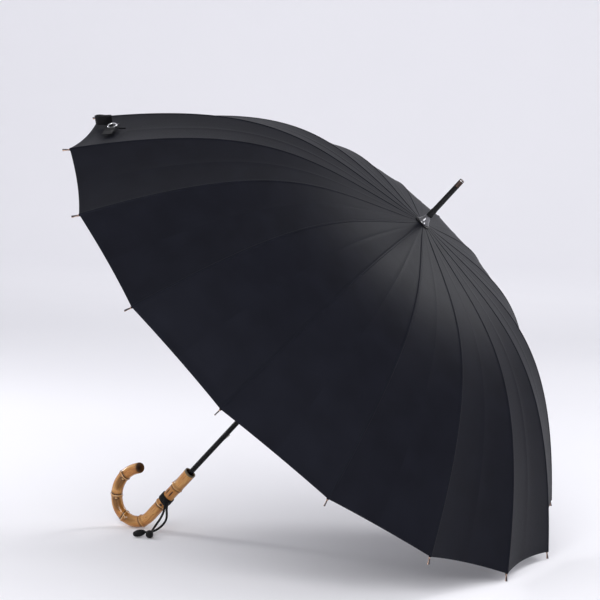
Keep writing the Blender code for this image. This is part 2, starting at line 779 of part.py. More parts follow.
def make_tie_strap(cloth):
    """The rolled ribbon standing near the hem between rib 1 and its gore's fold, and its flat end."""
    line = canopy_line(STRAP_AT)
    rib = rib_turn(1)
    corner = rib @ Vector((line.x, 0.0, line.y))
    along = (rib_turn(2) @ Vector((line.x, 0.0, line.y)) - corner).normalized()
    slope = canopy_slope(STRAP_AT)
    rise = Matrix.Rotation(PITCH / 2, 4, "Z") @ rib @ Vector((-slope.x, 0.0, -slope.y))
    out = along.cross(rise).normalized()
    rise = out.cross(along)
    middle = corner + STRAP_FROM_RIB * along + 2 * GAP * out
    at = Matrix.Translation(middle) @ Matrix((along, rise, out)).transposed().to_4x4()
    strap = place("tie_strap", strap_block(STRAP_ROLL, (0.0, 0.0), -STRAP_TURN), cloth, at)
    rounding = strap.modifiers.new("Roll", "BEVEL")
    rounding.width = STRAP_ROUNDING
    rounding.segments = 2
    end = bpy.data.objects.new("strap_end", strap_block(STRAP_END, STRAP_END_AT, 0.0))
    CUTTERS.objects.link(end)
    cut(strap, end, "UNION")
    end.matrix_local = at


def main():
    global UMBRELLA, CUTTERS, FRAME
    clear_scene()
    UMBRELLA = new_collection("stick_umbrella")
    CUTTERS = new_collection("cutters")
    FRAME = make_frame()
    bpy.context.view_layer.update()

    cloth = material("black_cloth", (0.012, 0.012, 0.016), 0.75)
    steel = material("dark_steel", (0.05, 0.05, 0.055), 0.35, 1.0)
    paint = material("black_paint", (0.01, 0.01, 0.01), 0.3)
    plastic = material("black_plastic", (0.015, 0.015, 0.015), 0.4)
    chrome = material("chrome", (0.75, 0.75, 0.76), 0.12, 1.0)
    bamboo = material("bamboo", (0.55, 0.29, 0.11), 0.4)

    make_shaft(paint)
    make_catches(steel)
    make_top_notch(plastic)
    make_runner(plastic)
    make_ribs(steel)
    make_canopy(cloth)
    make_crown_cap(chrome)
    make_ferrule(steel)
    make_handle(bamboo)
    make_wrist_cord(cloth, plastic)
    make_tie_strap(cloth)


main()
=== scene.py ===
"""Looks of the stick umbrella: black cloth on sixteen ribs, thin shaft, bamboo crook, wrist cord.

Shapes are worked out upright around the shaft, local +Z from handle to ferrule and heights from the
ring of hem corners, and STAND leans them into the frame. Distances are in metres.
"""
import json
import math
import random

import bmesh
import bpy
from mathutils import Matrix, Vector, noise


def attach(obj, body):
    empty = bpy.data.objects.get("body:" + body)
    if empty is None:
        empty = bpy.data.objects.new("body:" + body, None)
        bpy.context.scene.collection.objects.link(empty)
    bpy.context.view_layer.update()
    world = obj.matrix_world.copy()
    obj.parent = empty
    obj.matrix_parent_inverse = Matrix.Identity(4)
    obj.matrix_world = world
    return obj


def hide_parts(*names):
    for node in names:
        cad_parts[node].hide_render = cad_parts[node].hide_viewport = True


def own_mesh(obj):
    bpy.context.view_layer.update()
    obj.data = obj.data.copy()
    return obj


# Umbrella, as in the CAD model, apart from the hidden spigot, which is 4 mm shorter.
RIB_COUNT = 16
PITCH = 2 * math.pi / RIB_COUNT
OPEN_RADIUS = 0.569
CROWN_HEIGHT = 0.2816
CROWN_HOLE_RADIUS = 0.0085
CROWN_SLOPE = math.radians(9.0)
CROWN_REACH = 0.218
HEM_SLOPE = math.radians(48.5)
HEM_REACH = 0.3673
FERRULE_END = 0.3873
HANDLE_MOUTH = -0.3851
SHAFT_RADIUS = 0.005
SHAFT_INSERT = 0.036
RIB_DEPTH = 0.0026
CAP_BASE = CROWN_HEIGHT + 0.0008
CAP_HEIGHT = 0.016
CATCH_TURN = PITCH / 2
CATCH_CLEARANCE = 0.0003
CATCH_TRAVEL = 0.0017
SPIGOT_RADIUS = 0.003
SPIGOT_LENGTH = 0.020

# Canopy cloth.
CLOTH = 0.0005
HEM_SCALLOP = 0.0035
HEM_BAND = 0.0065
HEM_RISE = 0.0001
SEAM_COLUMNS = (0.0, 0.0011, 0.0018, 0.0022, 0.0032)
SEAM_RISE = (0.00075, 0.0007, 0.0005, 0.0, -0.0001)
SEAM_SHARE = 0.12
PANEL_COLUMNS = 9
CREASE_WIDTH = 0.0035
CREASE_RISE = 0.0005
CREASE_FADE = 0.12
# Radii from which seams and creases stand at their full height.
SEAM_FULL_FROM = 0.06
CREASE_FULL_FROM = 0.2
SLACK_SEED = 4
SLACK_RANGE = (0.8, 1.25)
GORE_RADIUS = 0.80
SPLIT_AT = 0.504
INNER_ROWS = 34
OUTER_ROWS = 40

# Handle.
HANDLE_RADIUS = 0.0112
HANDLE_END_RADIUS = 0.0104
HANDLE_STRAIGHT = 0.124
CROOK_ARCS = (
    (0.042, math.radians(121)),
    (0.0575, math.radians(82)),
    (0.087, math.radians(11)),
)
# Each node: its distance from the mouth, the turn of its bud, and how deep the bud's groove runs.
BAMBOO_NODES = (
    (0.041, math.radians(-168), 0.45),
    (0.089, math.radians(-100), 0.10),
    (0.143, math.radians(60), 0.30),
    (0.185, math.radians(-104), 0.55),
    (0.231, math.radians(-112), 1.00),
    (0.274, math.radians(-118), 0.95),
)
# Dark leaf scars: distance from the mouth, turn, half length and half width.
BAMBOO_SCARS = (
    (0.0550, math.radians(-74), 0.0078, 0.0016),
    (0.0560, math.radians(-116), 0.0074, 0.0014),
    (0.0570, math.radians(-150), 0.0040, 0.0012),
    (0.0858, math.radians(-72), 0.0026, 0.0030),
    (0.1120, math.radians(-62), 0.0009, 0.0009),
    (0.1270, math.radians(-95), 0.0008, 0.0009),
)
GROOVE_LENGTH = 0.034
END_SLANT = 0.35
# The drawn bamboo is this many times as thick as its core, and its grain swings this far round it.
BAMBOO_SHARE = 1.015
GRAIN_SWING = 0.03

# Wrist cord, in the frame.
CORD_RADIUS = 0.0021
THREAD_RADIUS = 0.00085
WRAP_FROM = 0.0655
WRAP_TO = 0.081
TOGGLE_CORD = (
    (-0.3000, -0.0105, 0.0556),
    (-0.2972, -0.0148, 0.0510),
    (-0.2964, -0.0178, 0.0430),
    (-0.2943, -0.0206, 0.0350),
    (-0.2934, -0.0235, 0.0280),
    (-0.2950, -0.0268, 0.0212),
    (-0.2993, -0.0305, 0.0146),
    (-0.3045, -0.0358, 0.0090),
    (-0.3094, -0.0430, 0.0056),
    (-0.3128, -0.0520, 0.0048),
    (-0.3142, -0.0620, 0.0060),
    (-0.3134, -0.0708, 0.0078),
)
BEAD_CORD = (
    (-0.3038, -0.0113, 0.0558),
    (-0.3018, -0.0150, 0.0511),
    (-0.3012, -0.0183, 0.0436),
    (-0.3026, -0.0217, 0.0350),
    (-0.3056, -0.0257, 0.0263),
    (-0.3084, -0.0307, 0.0195),
    (-0.3095, -0.0372, 0.0143),
    (-0.3085, -0.0452, 0.0112),
    (-0.3058, -0.0540, 0.0096),
    (-0.3022, -0.0635, 0.0085),
    (-0.2985, -0.0735, 0.0080),
    (-0.2966, -0.0800, 0.0079),
)
BEAD_AT = (-0.2954, -0.0851, 0.0079)
BEAD_RADIUS = 0.0074
TOGGLE_FROM = (-0.3137, -0.0720, 0.0080)
TOGGLE_TO = (-0.3232, -0.0940, 0.0066)

# Tie strap: where the rolled ribbon stands, and its size.
STRAP_AT = 0.9754
STRAP_FROM_RIB = 0.0655
STRAP_TURN = math.radians(22)
STRAP_HALF_LENGTH = 0.0185
STRAP_HALF_DEPTH = 0.0066
STRAP_WIDTH = 0.0165

# Camera.
CAMERA_AT = (1.5337, -3.4073, 0.7294)
CAMERA_HEADING = math.radians(24.75)
CAMERA_TILT = math.radians(-4.23)
CAMERA_ROLL = math.radians(1.22)
CAMERA_LENS = 123.65
SENSOR = 36.0

# Studio.
FLOOR_RADIUS = 9.0
BEND_RADIUS = 4.0
WALL_HEIGHT = 7.0
BEND_STEPS = 16
STUDIO_SIDES = 96
WORLD_COLOUR = (0.95, 0.955, 1.0, 1.0)
WORLD_STRENGTH = 0.68

# Edges sharper than this stay crisp on turned parts, and the pitch of the grain on metal.
SHARP_EDGE = math.radians(35)
METAL_GRAIN = 900.0

STAND = Matrix.Identity(4)


# ---------------------------------------------------------------- nodes and materials


class Shader:
    """A material whose nodes are added and linked with short calls."""

    def __init__(self, name, colour, roughness, metallic=0.0):
        self.material = bpy.data.materials.new(name)
        self.material.use_nodes = True
        self.tree = self.material.node_tree
        self.main = self.tree.nodes["Principled BSDF"]
        self.set("Base Color", (*colour, 1.0))
        self.set("Roughness", roughness)
        self.set("Metallic", metallic)

    def set(self, socket, value):
        """Sets an input of the main shader."""
        self.main.inputs[socket].default_value = value

    def node(self, kind, values=None, **fields):
        """Adds a node, with its inputs linked to sockets or set to values."""
        made = self.tree.nodes.new("ShaderNode" + kind)
        for field, value in fields.items():
            setattr(made, field, value)
        for socket, value in (values or {}).items():
            if isinstance(value, bpy.types.NodeSocket):
                self.tree.links.new(value, made.inputs[socket])
            else:
                made.inputs[socket].default_value = value
        return made

    def link(self, output, socket):
        """Links an output to an input of the main shader."""
        self.tree.links.new(output, self.main.inputs[socket])

    def place(self, name=None):
        """Texture coordinates: a named UV map in metres, or the object's own."""
        if name:
            return self.node("UVMap", uv_map=name).outputs["UV"]
        return self.node("TexCoord").outputs["Object"]

    def stretched(self, vector, scale):
        """Coordinates scaled along each axis."""
        return self.node("Mapping", {"Vector": vector, "Scale": scale}).outputs["Vector"]

    def noise(self, vector, scale, detail=3.0, roughness=0.55):
        """Cloudy pattern, 0 to 1."""
        values = {"Vector": vector, "Scale": scale, "Detail": detail, "Roughness": roughness}
        return self.node("TexNoise", values).outputs["Fac"]

    def wave(self, vector, scale, direction="X"):
        """Even bands, 0 to 1."""
        made = self.node("TexWave", {"Vector": vector, "Scale": scale}, bands_direction=direction)
        return made.outputs["Fac"]

    def ramp(self, fac, *stops):
        """Colours between (position, colour) stops."""
        made = self.node("ValToRGB", {"Fac": fac})
        ramp = made.color_ramp
        while len(ramp.elements) < len(stops):
            ramp.elements.new(0.5)
        for element, (position, colour) in zip(ramp.elements, stops):
            element.position = position
            element.color = (*colour, 1.0) if len(colour) == 3 else colour
        return made.outputs["Color"]

    def level(self, fac, low, high):
        """Maps 0..1 to low..high."""
        return self.node("MapRange", {"Value": fac, "To Min": low, "To Max": high}).outputs["Result"]

    def mix(self, fac, first, second, kind="MIX"):
        """Blend of two colours."""
        values = {"Factor": fac, 6: first, 7: second}
        return self.node("Mix", values, data_type="RGBA", blend_type=kind).outputs[2]

    def add(self, first, second, operation="ADD"):
        """Sum of two values, or another operation on them."""
        return self.node("Math", {0: first, 1: second}, operation=operation).outputs[0]

    def attribute(self, name):
        """Value of one of the mesh's own attributes."""
        return self.node("Attribute", attribute_name=name).outputs["Fac"]

    def bump(self, height, strength, distance, below=None):
        """Normal of a relief, on top of another one if given."""
        values = {"Height": height, "Strength": strength, "Distance": distance}
        if below is not None:
            values["Normal"] = below
        return self.node("Bump", values).outputs["Normal"]


def cloth_material():
    """Closely woven black pongee with a slight blue cast and a faint sheen."""
    s = Shader("pongee", (0.007, 0.007, 0.009), 0.6)
    uv = s.place("cloth")
    broad = s.noise(uv, 14.0, 4.0)
    s.link(s.ramp(broad, (0.3, (0.0056, 0.0058, 0.0086)), (0.7, (0.0076, 0.0080, 0.0120))), "Base Color")
    s.link(s.level(s.noise(uv, 260.0, 2.0), 0.46, 0.56), "Roughness")
    warp = s.wave(s.stretched(uv, (1.0, 0.05, 1.0)), 380.0, "X")
    weft = s.wave(s.stretched(uv, (0.05, 1.0, 1.0)), 380.0, "Y")
    weave = s.bump(s.add(warp, weft, "MULTIPLY"), 0.12, 0.0001)
    slack = s.bump(s.noise(s.stretched(uv, (1.0, 0.35, 1.0)), 42.0, 3.0), 0.16, 0.0012, weave)
    s.link(slack, "Normal")
    s.set("Specular IOR Level", 0.05)
    s.set("Specular Tint", (0.78, 0.84, 1.0, 1.0))
    return s.material


def ribbon_material():
    """Black grosgrain ribbon with fine cross ribs."""
    s = Shader("grosgrain", (0.006, 0.006, 0.008), 0.4)
    uv = s.place()
    tone = s.ramp(s.noise(uv, 300.0), (0.3, (0.003, 0.003, 0.004)), (0.7, (0.005, 0.005, 0.006)))
    s.link(tone, "Base Color")
    s.link(s.bump(s.wave(uv, 240.0, "DIAGONAL"), 0.30, 0.0002), "Normal")
    s.link(s.level(s.noise(uv, 120.0), 0.32, 0.48), "Roughness")
    s.set("Specular IOR Level", 0.08)
    return s.material


def cord_material():
    """Black braided cord: two diagonal sets of strands."""
    s = Shader("braid", (0.006, 0.006, 0.006), 0.62)
    uv = s.place()
    one = s.wave(s.stretched(uv, (1.0, 1.0, 1.0)), 150.0, "DIAGONAL")
    two = s.wave(s.stretched(uv, (-1.0, 1.0, 1.0)), 150.0, "DIAGONAL")
    s.link(s.bump(s.add(one, two, "MAXIMUM"), 0.6, 0.0004), "Normal")
    tone = s.ramp(s.noise(uv, 700.0), (0.35, (0.004, 0.004, 0.004)), (0.7, (0.010, 0.010, 0.011)))
    s.link(tone, "Base Color")
    s.set("Specular IOR Level", 0.2)
    s.set("Sheen Weight", 0.02)
    return s.material


def bamboo_material():
    """Varnished root bamboo: tan with long fibres, scorched brown at the nodes and along the grooves."""
    s = Shader("bamboo", (0.50, 0.26, 0.09), 0.3)
    uv = s.place("grain")
    long_uv = s.stretched(uv, (1.0, 0.06, 1.0))
    fibres = s.noise(long_uv, 900.0, 5.0, 0.65)
    streaks = s.noise(long_uv, 190.0, 3.0)
    blotches = s.noise(s.stretched(uv, (1.0, 0.5, 1.0)), 46.0, 4.0)
    body = s.ramp(
        blotches,
        (0.30, (0.36, 0.130, 0.022)),
        (0.46, (0.54, 0.240, 0.060)),
        (0.70, (0.72, 0.410, 0.140)),
    )
    lines = s.ramp(fibres, (0.36, (0.50, 0.34, 0.22)), (0.56, (1.0, 1.0, 1.0)))
    body = s.mix(0.55, body, lines, "MULTIPLY")
    dark = s.ramp(streaks, (0.32, (0.40, 0.24, 0.12)), (0.46, (1.0, 1.0, 1.0)))
    body = s.mix(0.40, body, dark, "MULTIPLY")
    burnt = s.add(s.attribute("burnt"), s.level(blotches, 0.60, 1.40), "MULTIPLY")
    burnt = s.ramp(burnt, (0.10, (0, 0, 0)), (0.85, (0.92, 0.92, 0.92)))
    body = s.mix(burnt, body, (0.180, 0.072, 0.007, 1.0))
    scorch = s.add(s.attribute("scorch"), s.level(blotches, 0.70, 1.30), "MULTIPLY")
    scorch = s.ramp(scorch, (0.15, (0, 0, 0)), (0.75, (1, 1, 1)))
    body = s.mix(scorch, body, (0.030, 0.009, 0.003, 1.0))
    # Painted highlight: light tan along the raised ridges and bumps that the mesh marks.
    ridge_highlight = s.ramp(s.attribute("ridge_highlight"), (0.2, (0, 0, 0)), (0.9, (0.8, 0.8, 0.8)))
    body = s.mix(ridge_highlight, body, (0.80, 0.52, 0.25, 1.0))
    # Dark brown of the cut faces, with painted shade deepening into the bore and the hollow end.
    body = s.mix(s.attribute("pith_and_shade"), body, (0.028, 0.011, 0.005, 1.0))
    s.link(body, "Base Color")
    s.link(s.level(s.add(fibres, s.attribute("pith_and_shade"), "MAXIMUM"), 0.20, 0.50), "Roughness")
    s.link(s.bump(fibres, 0.18, 0.0003), "Normal")
    s.link(s.level(s.attribute("pith_and_shade"), 0.75, 0.0), "Coat Weight")
    s.set("Specular IOR Level", 0.15)
    s.set("Coat Roughness", 0.06)
    return s.material


def metal_material(name, dark, light, roughness):
    """Metal whose tone and roughness vary a little over the surface."""
    s = Shader(name, light, roughness, 1.0)
    place = s.place()
    wear = s.noise(place, 60.0, 4.0)
    s.link(s.ramp(wear, (0.3, dark), (0.7, light)), "Base Color")
    s.link(s.level(s.noise(place, METAL_GRAIN), roughness * 0.8, roughness * 1.25), "Roughness")
    s.link(s.bump(s.noise(place, METAL_GRAIN), 0.05, 0.0001), "Normal")
    return s.material


def painted_material(name, colour, roughness, coat):
    """Black enamel or moulded plastic: fine orange peel and faint rubbing."""
    s = Shader(name, colour, roughness)
    place = s.place()
    rubbed = s.noise(place, 90.0, 5.0)
    lighter = tuple(min(1.0, 2.2 * part + 0.004) for part in colour)
    s.link(s.ramp(rubbed, (0.45, colour), (0.85, lighter)), "Base Color")
    s.link(s.level(rubbed, roughness * 0.8, roughness * 1.3), "Roughness")
    s.link(s.bump(s.noise(place, 1400.0, 2.0), 0.08, 0.0001), "Normal")
    s.set("Specular IOR Level", 0.12)
    s.set("Coat Weight", coat)
    s.set("Coat Roughness", 0.2)
    return s.material


def studio_material():
    """Pale matt paper of the floor and backdrop."""
    s = Shader("studio_paper", (0.90, 0.895, 0.925), 0.9)
    tone = s.ramp(s.noise(s.place(), 0.6), (0.3, (0.892, 0.886, 0.918)), (0.7, (0.906, 0.900, 0.930)))
    s.link(tone, "Base Color")
    return s.material


# ---------------------------------------------------------------- mesh helpers


def new_piece(name, data, finish, body):
    """Adds a piece in the frame's coordinates, riding on a body."""
    piece = bpy.data.objects.new(name, data)
    bpy.context.scene.collection.objects.link(piece)
    data.materials.append(finish)
    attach(piece, body)
    return piece


def mesh_of(name, points, faces, uv=None, uv_name=None):
    """Smooth mesh from points and faces, with an optional UV for each point."""
    data = bpy.data.meshes.new(name)
    data.from_pydata([tuple(point) for point in points], [], faces)
    if uv:
        layer = data.uv_layers.new(name=uv_name)
        for loop, item in zip(data.loops, layer.data):
            item.uv = uv[loop.vertex_index]
    data.polygons.foreach_set("use_smooth", [True] * len(data.polygons))
    data.update()
    return data


def tube_faces(rings, sides):
    """Quads between rings of points that all have the same number of sides, with end caps."""
    faces = []
    for ring in range(rings - 1):
        for side in range(sides):
            after = (side + 1) % sides
            base, following = ring * sides, (ring + 1) * sides
            faces.append((base + side, base + after, following + after, following + side))
    faces.append(tuple(reversed(range(sides))))
    faces.append(tuple(range((rings - 1) * sides, rings * sides)))
    return faces


def lathe(name, profile, matrix, sides):
    """Turned solid about the matrix's Z from (radius, height) points, bottom to top or round a ring."""
    mesh = bmesh.new()
    rings = []
    for radius, height in profile:
        if radius < 1e-6:
            rings.append([mesh.verts.new((0.0, 0.0, height))])
            continue
        ring = []
        for side in range(sides):
            turn = 2 * math.pi * side / sides
            ring.append(mesh.verts.new((radius * math.cos(turn), radius * math.sin(turn), height)))
        rings.append(ring)
    pairs = list(zip(rings, rings[1:]))
    if len(rings[0]) > 1 and len(rings[-1]) > 1:
        pairs.append((rings[-1], rings[0]))
    for low, high in pairs:
        for side in range(sides):
            after = (side + 1) % sides
            if len(low) == 1 and len(high) == 1:
                continue
            if len(low) == 1:
                mesh.faces.new((low[0], high[after], high[side]))
            elif len(high) == 1:
                mesh.faces.new((low[side], low[after], high[0]))
            else:
                mesh.faces.new((low[side], low[after], high[after], high[side]))
    bmesh.ops.recalc_face_normals(mesh, faces=mesh.faces)
    mesh.transform(matrix)
    data = bpy.data.meshes.new(name)
    mesh.to_mesh(data)
    mesh.free()
    data.shade_smooth()
    data.set_sharp_from_angle(angle=SHARP_EDGE)
    return data


def turned_piece(name, profile, matrix, sides, finish, body):
    """Adds a turned solid as a piece."""
    return new_piece(name, lathe(name, profile, matrix, sides), finish, body)


def curve_tube(name, points, radius):
    """Round tube along straight steps between the points."""
    curve = bpy.data.curves.new(name, "CURVE")
    curve.dimensions = "3D"
    curve.bevel_depth = radius
    curve.bevel_resolution = 4
    curve.resolution_u = 4
    curve.use_fill_caps = True
    spline = curve.splines.new("POLY")
    spline.points.add(len(points) - 1)
    for point, place in zip(spline.points, points):
        point.co = (*place, 1.0)
    return curve


def smooth_route(points, steps):
    """Points of a Catmull-Rom curve through the given ones, with this many steps between them."""
    knots = [Vector(point) for point in points]
    knots = [2 * knots[0] - knots[1]] + knots + [2 * knots[-1] - knots[-2]]
    route = []
    for before, start, end, after in zip(knots, knots[1:], knots[2:], knots[3:]):
        for i in range(steps):
            t = i / steps
            route.append(
                0.5 * (2 * start + (end - before) * t + (2 * before - 5 * start + 4 * end - after) * t * t)
                + 0.5 * (3 * start - before - 3 * end + after) * t**3
            )
    return route + [knots[-2]]


def spread(value, centre, width):
    """Bell curve, 1 at the centre."""
    return math.exp(-(((value - centre) / width) ** 2))


# ---------------------------------------------------------------- canopy


def canopy_line(t):
    """The cloth's outer line over a rib, (radius, height), from crown (0) to hem corner (1)."""
    start = Vector((CROWN_HOLE_RADIUS, CROWN_HEIGHT))
    end = Vector((OPEN_RADIUS, 0.0))
    first = start + CROWN_REACH * Vector((math.cos(CROWN_SLOPE), -math.sin(CROWN_SLOPE)))
    second = end - HEM_REACH * Vector((math.cos(HEM_SLOPE), -math.sin(HEM_SLOPE)))
    s = 1 - t
    return s**3 * start + 3 * s * s * t * first + 3 * s * t * t * second + t**3 * end


def canopy_slope(t):
    """Unit tangent of the canopy line, pointing to the hem."""
    step = 0.0005
    return (canopy_line(min(t + step, 1.0)) - canopy_line(t - step)).normalized()


def rib_turn(number):
    """Turn of a rib about the shaft. Ribs 8 and 9 are the lowest pair."""
    return Matrix.Rotation((number - (RIB_COUNT + 1) / 2) * PITCH, 4, "Z")


def gore_slack():
    """How hollow each gore hangs, as a share of the mean."""
    draw = random.Random(SLACK_SEED)
    return [draw.uniform(*SLACK_RANGE) for _ in range(RIB_COUNT)]


def columns_of(half):
    """Distances from the rib across half a strip: the sewn seam, then the open cloth."""
    narrow = []
    for i, place in enumerate(SEAM_COLUMNS):
        narrow.append(min(place, half * SEAM_SHARE * (i + 1) * 0.5 * (place > 0)))
    start = narrow[-1]
    return narrow + [start + (half - start) * (i + 1) / PANEL_COLUMNS for i in range(PANEL_COLUMNS)]


def half_strip(line):
    """Half the width of a strip where the canopy line has this radius."""
    return line.x * math.sin(PITCH / 2) * math.cos(PITCH / 2)


def strip_point(s, column, side, slack):
    """Outer surface point and outward direction, in a rib's own upright frame."""
    line = canopy_line(s)
    half = half_strip(line)
    across = columns_of(half)[column]
    w = across / half
    t = s * (1 - HEM_SCALLOP * w * (2 - w))
    line, slope = canopy_line(t), canopy_slope(t)
    half = half_strip(line)
    lean = side * w * PITCH / 2
    outward = Vector((-slope.y * math.cos(lean), -slope.y * math.sin(lean), slope.x))
    rise = -slack * half * half / (2 * GORE_RADIUS) * w * (2 - w)
    if column < len(SEAM_COLUMNS):
        rise += SEAM_RISE[column] * min(1.0, line.x / SEAM_FULL_FROM)
    crease = max(0.0, 1 - (1 - w) * half / CREASE_WIDTH)
    rise += CREASE_RISE * crease * min(1.0, line.x / CREASE_FULL_FROM) * min(1.0, (1 - s) / CREASE_FADE)
    flat = Vector((line.x * (1 - w * math.sin(PITCH / 2) ** 2), side * w * half, line.y))
    return flat + rise * outward, outward


def strip_mesh(name, number, rows, slacks):
    """Closed strip of cloth from mid gore to mid gore over one rib, for the given rows."""
    stand = STAND @ rib_turn(number)
    count = len(SEAM_COLUMNS) + PANEL_COLUMNS
    columns = [(c, -1) for c in range(count - 1, 0, -1)] + [(c, 1) for c in range(count)]
    band = 1 - HEM_BAND / (3 * HEM_REACH)
    top, bottom, uv = [], [], []
    for s in rows:
        for column, side in columns:
            slack = slacks[number % RIB_COUNT] if side > 0 else slacks[number - 1]
            point, outward = strip_point(s, column, side, slack)
            thick = HEM_RISE if s > band else 0.0
            top.append(stand @ (point + thick * outward))
            bottom.append(stand @ (point - (CLOTH + thick) * outward))
            uv.append((point.y, s))
    width = len(columns)
    size = len(top)
    faces = []
    for row in range(len(rows) - 1):
        for column in range(width - 1):
            a = row * width + column
            quad = (a, a + width, a + width + 1, a + 1)
            faces.append(quad)
            faces.append(tuple(size + i for i in reversed(quad)))
    edge = list(range(width))
    edge += [row * width + width - 1 for row in range(1, len(rows))]
    edge += [(len(rows) - 1) * width + column for column in range(width - 2, -1, -1)]
    edge += [row * width for row in range(len(rows) - 2, 0, -1)]
    for a, b in zip(edge, edge[1:] + edge[:1]):
        faces.append((a, b, size + b, size + a))
    return mesh_of(name, top + bottom, faces, uv + uv, "cloth")


def even(low, high, count):
    """Evenly spaced values from low to high, both included."""
    return [low + (high - low) * i / count for i in range(count + 1)]


def make_canopy(cloth):
    """Two strips on each rib, to the knuckle and on to the hem, which gather as the canopy folds."""
    slacks = gore_slack()
    band = 1 - HEM_BAND / (3 * HEM_REACH)
    inner_rows = even(0.0, SPLIT_AT, INNER_ROWS)
    outer_rows = even(SPLIT_AT, band, OUTER_ROWS) + even(band + 0.0004, 1.0, 3)
    for number in range(1, RIB_COUNT + 1):
        tag = f"{number:02d}"
        for part, rows, body in (("crown", inner_rows, "rib_inner_"), ("hem", outer_rows, "rib_outer_")):
            name = f"cloth_{part}_{tag}"
            data = strip_mesh(name, number, rows, slacks)
            piece = new_piece(name, data, cloth, body + tag)
            data.set_sharp_from_angle(angle=math.radians(50))
            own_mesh(piece)
    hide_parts("canopy")


# ---------------------------------------------------------------- handle


def handle_frame(distance):
    """Centre of the handle and its heading, at a distance from the mouth, in the upright frame."""
    point = Vector((0.0, HANDLE_MOUTH))
    heading = -math.pi / 2
    straight = min(distance, HANDLE_STRAIGHT)
    point.y -= straight
    left = distance - straight
    for radius, turn in CROOK_ARCS:
        share = min(max(left, 0.0) / radius, turn)
        spoke = Vector((math.cos(heading + math.pi / 2), math.sin(heading + math.pi / 2)))
        centre = point - radius * spoke
        heading -= share
        spoke = Vector((math.cos(heading + math.pi / 2), math.sin(heading + math.pi / 2)))
        point = centre + radius * spoke
        left -= share * radius
    return point, heading


def handle_length():
    """Length of the handle along its centre line."""
    return HANDLE_STRAIGHT + sum(radius * turn for radius, turn in CROOK_ARCS)


def turn_between(first, second):
    """Smaller angle between two directions."""
    return abs((first - second + math.pi) % (2 * math.pi) - math.pi)


def bamboo_surface(distance, angle):
    """(radius, scorch, burnt, painted highlight) of the bamboo at a distance from the mouth and an angle
    round it. The painted highlight is light tan laid along the raised node rings, groove rims and bud bumps.
    """
    share = distance / handle_length()
    radius = BAMBOO_SHARE * (HANDLE_RADIUS + (HANDLE_END_RADIUS - HANDLE_RADIUS) * share)
    radius *= 1 + 0.015 * math.cos(2 * angle + 9 * share)
    scorch = burnt = ridge_highlight = 0.0
    for index, (node, bud, groove) in enumerate(BAMBOO_NODES):
        aside = turn_between(angle, bud)
        d = distance - node - 0.0011 * math.sin(angle + 1.9 * index) - 0.0006 * math.sin(3 * angle + index)
        radius += 0.0013 * spread(d, 0.0, 0.0036)
        radius -= 0.0011 * spread(d, 0.0017, 0.0007)
        radius += 0.0005 * spread(d, 0.0004, 0.0006)
        near = 0.40 + 0.60 * spread(aside, 0.0, 1.1)
        scorch = max(scorch, near * spread(d, 0.0018, 0.0011))
        burnt = max(burnt, 0.80 * spread(d, 0.0030, 0.0024), 0.45 * spread(d, -0.0034, 0.0028))
        # Painted highlight along the top of the node's ridge.
        ridge_highlight = max(ridge_highlight, near * spread(d, -0.0002, 0.0010))
        run = min(1.0, max(0.0, -d - 0.0025) / 0.003) * max(0.0, 1 + d / GROOVE_LENGTH) ** 0.4
        hollow = groove * run * spread(aside, 0.0, 0.62)
        radius -= 0.0012 * hollow
        radius += 0.0004 * groove * run * spread(aside, 0.86, 0.16)
        burnt = max(burnt, 1.6 * groove * run * spread(aside, 0.0, 0.75))
        scorch = max(
            scorch,
            0.6 * groove * run * spread(aside, 0.55, 0.10),
            0.5 * groove * run * spread(aside, 0.0, 0.16),
        )
        # Painted highlight along the raised rim of the groove.
        ridge_highlight = max(ridge_highlight, 0.6 * groove * run * spread(aside, 0.92, 0.10))
        ring = math.hypot((d + 0.0052) / 0.0030, aside / 0.34)
        radius += 0.0014 * groove**0.5 * math.exp(-(ring**2))
        scorch = max(scorch, 0.8 * groove**0.5 * spread(ring, 1.15, 0.24))
        # Painted highlight on top of the bud's bump.
        ridge_highlight = max(ridge_highlight, 0.8 * groove**0.5 * spread(ring, 0.0, 0.7))
    for place, turn, half, wide in BAMBOO_SCARS:
        mark = math.hypot((distance - place) / half, HANDLE_RADIUS * turn_between(angle, turn) / wide)
        scorch = max(scorch, math.exp(-(mark**4)))
        radius -= 0.0005 * math.exp(-(mark**2)) * min(1.0, half / 0.002)
    radius += 0.00012 * noise.noise(Vector((4 * math.cos(angle), 4 * math.sin(angle), distance * 90)))
    return radius, scorch, burnt, ridge_highlight


